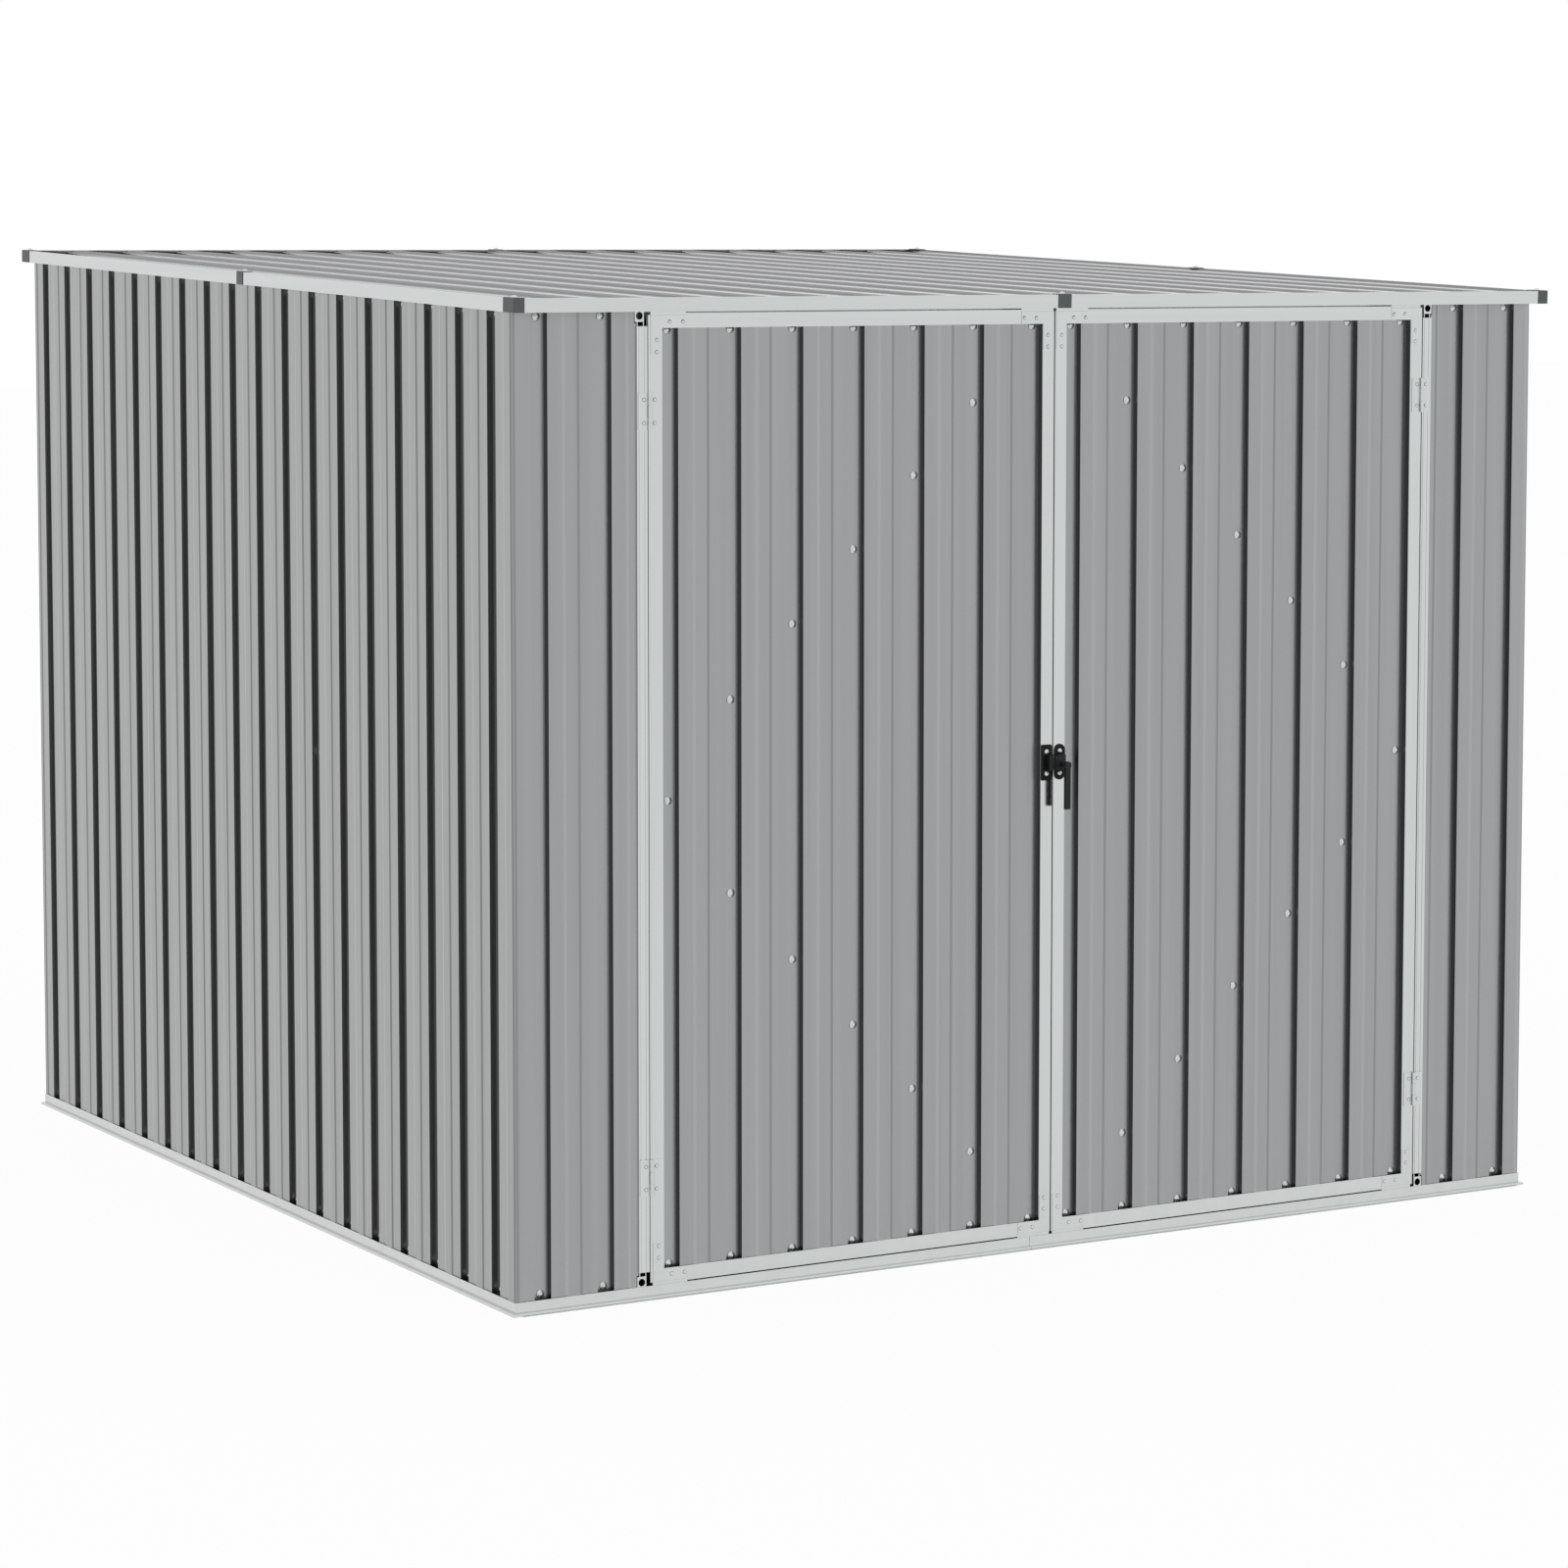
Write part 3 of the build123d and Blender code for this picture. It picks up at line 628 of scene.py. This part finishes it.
# Near-black foam, which at the back also stands in for the shade in the valley ends.
foam_and_shade_dark = (0.010, 0.010, 0.010, 1)
foam_and_shade_pale = (0.024, 0.024, 0.024, 1)
pit_depth = 0.4 * MM
plug_width = 26 * MM
front_plug = 12 * MM
back_shade_plug = 55 * MM
plug_round = 0.6 * MM
plug_gap = 1.8 * MM
plug_clear = 0.2 * MM
roof_first = 54 * MM
rib_pitch = 107 * MM
steel = 0.8 * MM


def rounded_block(shape, low, high, round_over, place=None):
    """Add a block between two corners to a bmesh, with its edges rounded."""
    size = [b - a for a, b in zip(low, high)]
    middle = [(a + b) / 2 for a, b in zip(low, high)]
    fresh = bmesh.ops.create_cube(shape, size=1)["verts"]
    bmesh.ops.scale(shape, vec=size, verts=fresh)
    bmesh.ops.translate(shape, vec=middle, verts=fresh)
    if place is not None:
        bmesh.ops.transform(shape, matrix=place, verts=fresh)
    edges = list({edge for vert in fresh for edge in vert.link_edges})
    bmesh.ops.bevel(shape, geom=edges, offset=round_over, offset_type="OFFSET", segments=2,
                    profile=0.5, affect="EDGES", material=-1)


foam, nodes, links, output = fresh_material("black_shade_foam")
grain = noise(foam.node_tree, nodes.new("ShaderNodeTexCoord").outputs["Object"], foam_grain, 3)
surface = nodes.new("ShaderNodeBsdfPrincipled")
surface.inputs["Roughness"].default_value = foam_rough
links.new(mix_colour(foam.node_tree, grain, foam_and_shade_dark, foam_and_shade_pale), surface.inputs["Base Color"])
pits = nodes.new("ShaderNodeBump")
pits.inputs["Distance"].default_value = pit_depth
links.new(grain, pits.inputs["Height"])
links.new(pits.outputs[0], surface.inputs["Normal"])
links.new(surface.outputs[0], output.inputs["Surface"])

shape = bmesh.new()
plug_low = sheet_bed + steel * lift
plug_high = lip_underside - plug_clear
across = roof_first
while across < roof_size.x - plug_width:
    for near, depth in ((plug_gap, front_plug), (roof_size.y - plug_gap - back_shade_plug, back_shade_plug)):
        rounded_block(shape, (across - plug_width / 2, near, plug_low),
                      (across + plug_width / 2, near + depth, plug_high), plug_round, roof_place)
    across += rib_pitch
put_in_scene("roof_shade_foam_plugs", shape, foam, "shell")

# %% [markdown]
# ## Hems round the doors
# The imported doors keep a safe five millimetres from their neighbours. The real ones have a
# rolled hem that narrows that gap, and the corner plates reach up and down until they
# almost touch the roof rail and the base rail. Each hem is a thin bar with rounded edges
# that rides on its door.
# %% Door hems
hem_side = 3.7 * MM
hem_meeting = 1.6 * MM
hem_top = 2.6 * MM
hem_bottom = 2.8 * MM
hem_thick = 1.0 * MM
hem_inset = 0.2 * MM
hem_round = 0.35 * MM
plate_reach = 60 * MM
plate_rise = 4.7 * MM
plate_drop = 4.5 * MM
hem_root = 0.5 * MM
plate_proud = 0.4 * MM

for side, outward in (("left", -1), ("right", 1)):
    hinge_low, hinge_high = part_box(f"{side}_door_hinge_stile")
    meeting_low, meeting_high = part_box(f"{side}_door_meeting_stile")
    face = hinge_low.y + hem_inset
    back = face + hem_thick
    hinge_edge = hinge_low.x if side == "left" else hinge_high.x
    meeting_edge = meeting_high.x if side == "left" else meeting_low.x
    low_z, high_z = hinge_low.z, hinge_high.z
    upright = bmesh.new()
    for edge, reach in ((hinge_edge, outward * hem_side), (meeting_edge, -outward * hem_meeting)):
        ends = sorted((edge - hem_root * reach / abs(reach), edge + reach))
        rounded_block(upright, (ends[0], face, low_z), (ends[1], back, high_z), hem_round)
    put_in_scene(f"{side}_door_side_hems", upright, finish("light_frame_paint", "z"),
                 f"{side}_door")
    level = bmesh.new()
    left_x, right_x = sorted((hinge_edge, meeting_edge))
    for foot, head in ((high_z - hem_root, high_z + hem_top),
                       (low_z - hem_bottom, low_z + hem_root)):
        rounded_block(level, (left_x, face, foot), (right_x, back, head), hem_round)
    for start in (left_x + hem_inset, right_x - hem_inset - plate_reach):
        for foot, head in ((high_z - hem_root, high_z + plate_rise),
                           (low_z - plate_drop, low_z + hem_root)):
            rounded_block(level, (start, face - plate_proud, foot),
                          (start + plate_reach, back, head), hem_round)
    put_in_scene(f"{side}_door_end_hems", level, finish("light_frame_paint", "x"),
                 f"{side}_door")

# %% [markdown]
# ### Stops behind the hinge gaps
# A light strip on each door post closes the view through the gap beside the door, as the
# folded edge of the real post does. It belongs to the shell and the door swings clear of it.
# %% Door stops
stop_reach = 4 * MM
stop_root = 0.2 * MM
stop_back = 3 * MM
stop_thick = 1.5 * MM

shape = bmesh.new()
for side, outward in (("left", -1), ("right", 1)):
    post_low, post_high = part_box(f"door_post_{side}")
    edge = post_high.x if side == "left" else post_low.x
    ends = sorted((edge + outward * stop_root, edge - outward * stop_reach))
    face = post_low.y + stop_back
    rounded_block(shape, (ends[0], face, post_low.z), (ends[1], face + stop_thick, post_high.z),
                  hem_round)
put_in_scene("door_stops", shape, finish("light_frame_paint", "z"), "shell")

# %% [markdown]
# ## Screws and rivets
# The sheets are held by domed self-drilling screws on thin washers. One head is turned on a
# lathe: a short outline spun round its axis. The outline is an arc for the dome and a step
# for the washer. The same head is then stamped at each place, as a handful of faces that
# still reads as round from close up. Rivets and the other screws have no washer.
# %% A head turned on a lathe
def turned_head(name, radius, rise, washer, washer_rise, steps, rings):
    """A domed head standing on Z = 0, with or without a washer under it."""
    shape = bmesh.new()
    ball = (radius ** 2 + rise ** 2) / (2 * rise)
    half_angle = atan2(radius, ball - rise)
    outline = []
    for ring in range(rings + 1):
        angle = half_angle * ring / rings
        outline.append((ball * sin(angle), ball * cos(angle) - (ball - rise) + washer_rise))
    if washer > radius:
        outline += [(washer, washer_rise), (washer, 0)]
    else:
        outline.append((radius, 0))
    line = [shape.verts.new((reach, 0, up)) for reach, up in outline]
    for first, second in zip(line, line[1:]):
        shape.edges.new((first, second))
    bmesh.ops.spin(shape, geom=shape.verts[:] + shape.edges[:], cent=(0, 0, 0), axis=(0, 0, 1),
                   angle=2 * pi, steps=steps, use_merge=True)
    bmesh.ops.remove_doubles(shape, verts=shape.verts, dist=weld_reach)
    rim = [edge for edge in shape.edges if edge.is_boundary]
    bmesh.ops.contextual_create(shape, geom=rim)
    bmesh.ops.recalc_face_normals(shape, faces=shape.faces)
    for face in shape.faces:
        # Only the flat underside has more than four corners.
        face.smooth = len(face.verts) < 5
    mesh = bpy.data.meshes.new(name)
    shape.to_mesh(mesh)
    shape.free()
    return mesh


screw_head = turned_head("screw_head", radius=4.9 * MM, rise=2.8 * MM, washer=6.8 * MM,
                         washer_rise=0.5 * MM, steps=12, rings=3)
rivet_head = turned_head("rivet_head", radius=3.4 * MM, rise=1.8 * MM, washer=0,
                         washer_rise=0, steps=10, rings=2)
latch_head = turned_head("latch_head", radius=4.1 * MM, rise=2.4 * MM, washer=0,
                         washer_rise=0.3 * MM, steps=14, rings=3)
cap_head = turned_head("cap_head", radius=5 * MM, rise=3.1 * MM, washer=0,
                       washer_rise=0.4 * MM, steps=16, rings=3)
print(len(screw_head.polygons), "faces on a screw,", len(rivet_head.polygons), "on a rivet")

# %% [markdown]
# The heads of one body are joined into one piece, because they are one kind of part made of
# one metal. A stamp turns the head to the face it sits on and sets it down there.
# %% Stamping heads into a piece
face_turns = {
    "front": Matrix.Rotation(pi / 2, 4, "X"),
    "back": Matrix.Rotation(-pi / 2, 4, "X"),
    "left": Matrix.Rotation(-pi / 2, 4, "Y"),
    "right": Matrix.Rotation(pi / 2, 4, "Y"),
}
zinc_head = metal_finish("bright_zinc_head", colour=(0.68, 0.71, 0.715, 1), run="z",
                         metallic=1.0, roughness=0.42, streak=0.03, peel_height=0.00001,
                         dust=0.02, splash=0.02)


def heads_piece(name, mesh, turn, places, body):
    """One piece made of many heads, each turned and set down at its place."""
    shape = bmesh.new()
    for place in places:
        known = len(shape.verts)
        shape.from_mesh(mesh)
        shape.verts.ensure_lookup_table()
        fresh = shape.verts[known:]
        bmesh.ops.transform(shape, matrix=Matrix.Translation(place) @ turn, verts=fresh)
    print(len(places), "heads:", end=" ")
    return put_in_scene(name, shape, zinc_head, body)


# %% [markdown]
# ### Door screws
# Each door's sheet has seven valleys. A screw sits at the top and the bottom of each valley,
# just clear of the rails. Others follow the two slanted braces behind the sheet, so that
# from outside they draw a chevron that points to the hinges.
# %% Door screws
door_pitch = 108.8 * MM
door_first = 34.2 * MM
door_valleys = 7
brace_shift = 2.5 * MM
row_gap_top = 2.5 * MM
row_gap_bottom = 3.5 * MM


def door_screw_places(side):
    """Places of one door's screws, on the bottoms of its valleys."""
    hinge_low, hinge_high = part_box(f"{side}_door_hinge_stile")
    left_edge = min(hinge_low.x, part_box(f"{side}_door_meeting_stile")[0].x)
    hinge_edge = hinge_low.x if side == "left" else hinge_high.x
    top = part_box(f"{side}_door_top_rail")[0].z - row_gap_top
    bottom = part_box(f"{side}_door_bottom_rail")[1].z + row_gap_bottom
    middle = (hinge_low.z + hinge_high.z) / 2
    valley_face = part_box(f"{side}_door_sheet")[1].y - steel
    brace_low, brace_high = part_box(f"{side}_door_braces")
    slope = (brace_high.z - middle) / (brace_high.x - brace_low.x + (hinge_high.x - hinge_low.x))
    beside_meeting = door_valleys - 1 if side == "left" else 0
    places = []
    for index in range(door_valleys):
        x = left_edge + door_first + index * door_pitch
        away = abs(x - hinge_edge) + brace_shift
        rows = [top, bottom]
        if away < door_pitch:
            rows.append(middle)
        elif index != beside_meeting:
            rows += [middle + slope * away, middle - slope * away]
        places += [Vector((x, valley_face, z)) for z in rows]
    return places


for side in ("left", "right"):
    heads_piece(f"{side}_door_screws", screw_head, face_turns["front"],
                door_screw_places(side), f"{side}_door")

# %% [markdown]
# ### Wall screws
# The front strips and the three long walls are screwed in their valleys to the base rail
# below and to the roof rail above. Half way up, one screw on each side wall holds it to
# the rail behind. It is the single dot on the left wall of the photograph.
# %% Front strip screws
strip_first = 46 * MM
strip_row_bottom = 6.3 * MM
strip_row_top = 6 * MM


def strip_screw_places(side):
    """Screws at the feet and heads of the two valleys beside the doorway."""
    low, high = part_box(f"front_strip_{side}")
    base_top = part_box("base_rail_front")[1].z
    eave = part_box("roof_rail_front")[0].z
    places = []
    for across in (strip_first, strip_first + rib_pitch):
        x = low.x + across if side == "left" else high.x - across
        for z in (base_top + strip_row_bottom, eave - strip_row_top):
            places.append(Vector((x, high.y - steel, z)))
    return places


heads_piece("front_strip_screws", screw_head, face_turns["front"],
            strip_screw_places("left") + strip_screw_places("right"), "shell")

# %% Side and back wall screws
side_first = 67.6 * MM
back_first = 44 * MM
middle_valley = 6

left_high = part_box("wall_left")[1]
back_low, back_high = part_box("wall_back")
wall_rail_low, wall_rail_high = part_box("wall_rail_left")
shed_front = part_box("front_strip_left")[0].y
base_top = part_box("base_rail_left")[1].z
wall_fall = (back_rail_low.z - rail_low.z) / (back_rail_low.y - rail_low.y)


def rail_underside(y):
    """Height of a side roof rail's underside at a place along the shed."""
    return rail_low.z + wall_fall * (y - rail_low.y)


def wall_rows(first, length):
    """Valley places along a wall."""
    count = int((length - first) / rib_pitch) + 1
    return [first + index * rib_pitch for index in range(count)]


side_places = {"left": [], "right": []}
for index, along in enumerate(wall_rows(side_first, left_high.y - shed_front)):
    y = shed_front + along
    rows = [base_top + strip_row_bottom, rail_underside(y) - strip_row_top]
    if index == middle_valley:
        rows.append((wall_rail_low.z + wall_rail_high.z) / 2)
    for z in rows:
        side_places["left"].append(Vector((left_high.x - steel, y, z)))
        side_places["right"].append(Vector((steel - left_high.x, y, z)))
for side in ("left", "right"):
    heads_piece(f"wall_{side}_screws", screw_head, face_turns[side], side_places[side], "shell")

back_places = []
for across in wall_rows(back_first, back_high.x - back_low.x):
    x = back_high.x - across
    for z in (base_top + strip_row_bottom, back_rail_low.z - strip_row_top):
        back_places.append(Vector((x, back_low.y + steel, z)))
heads_piece("wall_back_screws", screw_head, face_turns["back"], back_places, "shell")

# %% [markdown]
# ### Rivets
# Hinge leaves and corner plates are riveted, not screwed: small low heads, four to a hinge
# and four to a corner plate. The ones on a door's leaf ride on the door and the ones on the
# post's leaf stay with the shell, which is what lets the hinge open between them.
# %% Hinge rivets
hinge_rivet_rise = 17.5 * MM
hinge_rivet_reach = 9 * MM
hinge_height = 56 * MM
leaf = 1.2 * MM


def hinge_rivets(side, node, outward):
    """Two rivets on one leaf of each hinge, above and below its middle."""
    low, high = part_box(node)
    door_end, post_end = (0, 1) if side == "left" else (1, 0)
    door_leaf_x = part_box(f"{side}_door_hinges")[door_end].x
    post_leaf_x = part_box(f"post_hinges_{side}")[post_end].x
    pin = (door_leaf_x + post_leaf_x) / 2
    leaf_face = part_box(f"{side}_door_hinge_stile")[0].y - leaf
    half = hinge_height / 2
    places = []
    for middle in (low.z + half, high.z - half):
        for rise in (-hinge_rivet_rise, hinge_rivet_rise):
            places.append(Vector((pin + outward * hinge_rivet_reach, leaf_face, middle + rise)))
    return places


post_rivets = []
door_rivets = {"left": [], "right": []}
for side, into_door in (("left", 1), ("right", -1)):
    post_rivets += hinge_rivets(side, f"post_hinges_{side}", -into_door)
    door_rivets[side] += hinge_rivets(side, f"{side}_door_hinges", into_door)
heads_piece("post_rivets", rivet_head, face_turns["front"], post_rivets, "shell")

# %% Corner plate rivets
rail_leg_rivets = (32 * MM, 54.5 * MM)
stile_leg_rivets = (37 * MM, 55 * MM)

for side in ("left", "right"):
    low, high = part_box(f"{side}_door_corner_plates")
    rail_bottom, rail_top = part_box(f"{side}_door_top_rail")
    half = (rail_top.z - rail_bottom.z) / 2
    on_rail = [(reach, half) for reach in rail_leg_rivets]
    on_stile = [(half, reach) for reach in stile_leg_rivets]
    for corner_x, inward in ((low.x, 1), (high.x, -1)):
        for corner_z, upward in ((low.z, 1), (high.z, -1)):
            for along, up in on_rail + on_stile:
                place = Vector((corner_x + inward * along, low.y, corner_z + upward * up))
                door_rivets[side].append(place)
    heads_piece(f"{side}_door_rivets", rivet_head, face_turns["front"],
                door_rivets[side], f"{side}_door")

# %% Latch screws
latch_screw_rise = 17.5 * MM

for side, node in (("left", "latch_keeper"), ("right", "latch_case")):
    low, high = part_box(node)
    middle = (low + high) / 2
    plate_face = high.y - latch_plate
    places = [Vector((middle.x, plate_face, middle.z + rise))
              for rise in (-latch_screw_rise, latch_screw_rise)]
    heads_piece(f"{node}_screws", latch_head, face_turns["front"], places, f"{side}_door")

# %% [markdown]
# ### Screws on the roof's caps
# One pale domed screw holds each dark cap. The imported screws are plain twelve-sided studs,
# so round heads of the same width and height stand in for them.
# %% Cap screws
cap_top = 22 * MM
corner_in = (9 * MM, 16 * MM)
joint_in = 9 * MM

near_x, near_y = corner_in
far_x, far_y = roof_size.x - near_x, roof_size.y - near_y
on_roof = [(near_x, near_y), (far_x, near_y), (near_x, far_y), (far_x, far_y),
           (roof_size.x / 2, joint_in), (roof_size.x / 2, roof_size.y - joint_in),
           (joint_in, roof_size.y / 2), (roof_size.x - joint_in, roof_size.y / 2)]
cap_places = [roof_place @ Vector((x, y, cap_top)) for x, y in on_roof]
cap_screws = heads_piece("cap_screws", cap_head, Matrix.Rotation(roof_turn, 4, "X"),
                         cap_places, "shell")
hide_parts("roof_cap_screws")

# %% [markdown]
# ## Latch nose
# The two halves of the latch look like one block across the meeting gap. A short black nose
# on the right half bridges the gap and stops just clear of the left one.
# %% Latch nose
nose_clear = 0.3 * MM
nose_root = 0.4 * MM
nose_height = 22 * MM
nose_depth = 8.5 * MM
nose_round = 0.8 * MM

case_low, case_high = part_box("latch_case")
keeper_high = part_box("latch_keeper")[1]
nose_middle = (case_low.z + case_high.z) / 2
nose_front = case_low.y + nose_root
nose_low = (keeper_high.x + nose_clear, nose_front, nose_middle - nose_height / 2)
nose_high = (case_low.x + nose_root, nose_front + nose_depth, nose_middle + nose_height / 2)
shape = bmesh.new()
rounded_block(shape, nose_low, nose_high, nose_round)
put_in_scene("latch_nose", shape, finish("black_latch", "z"), "right_door")

print("CAD box", [[round(v, 4) for v in corner] for corner in cad_box])
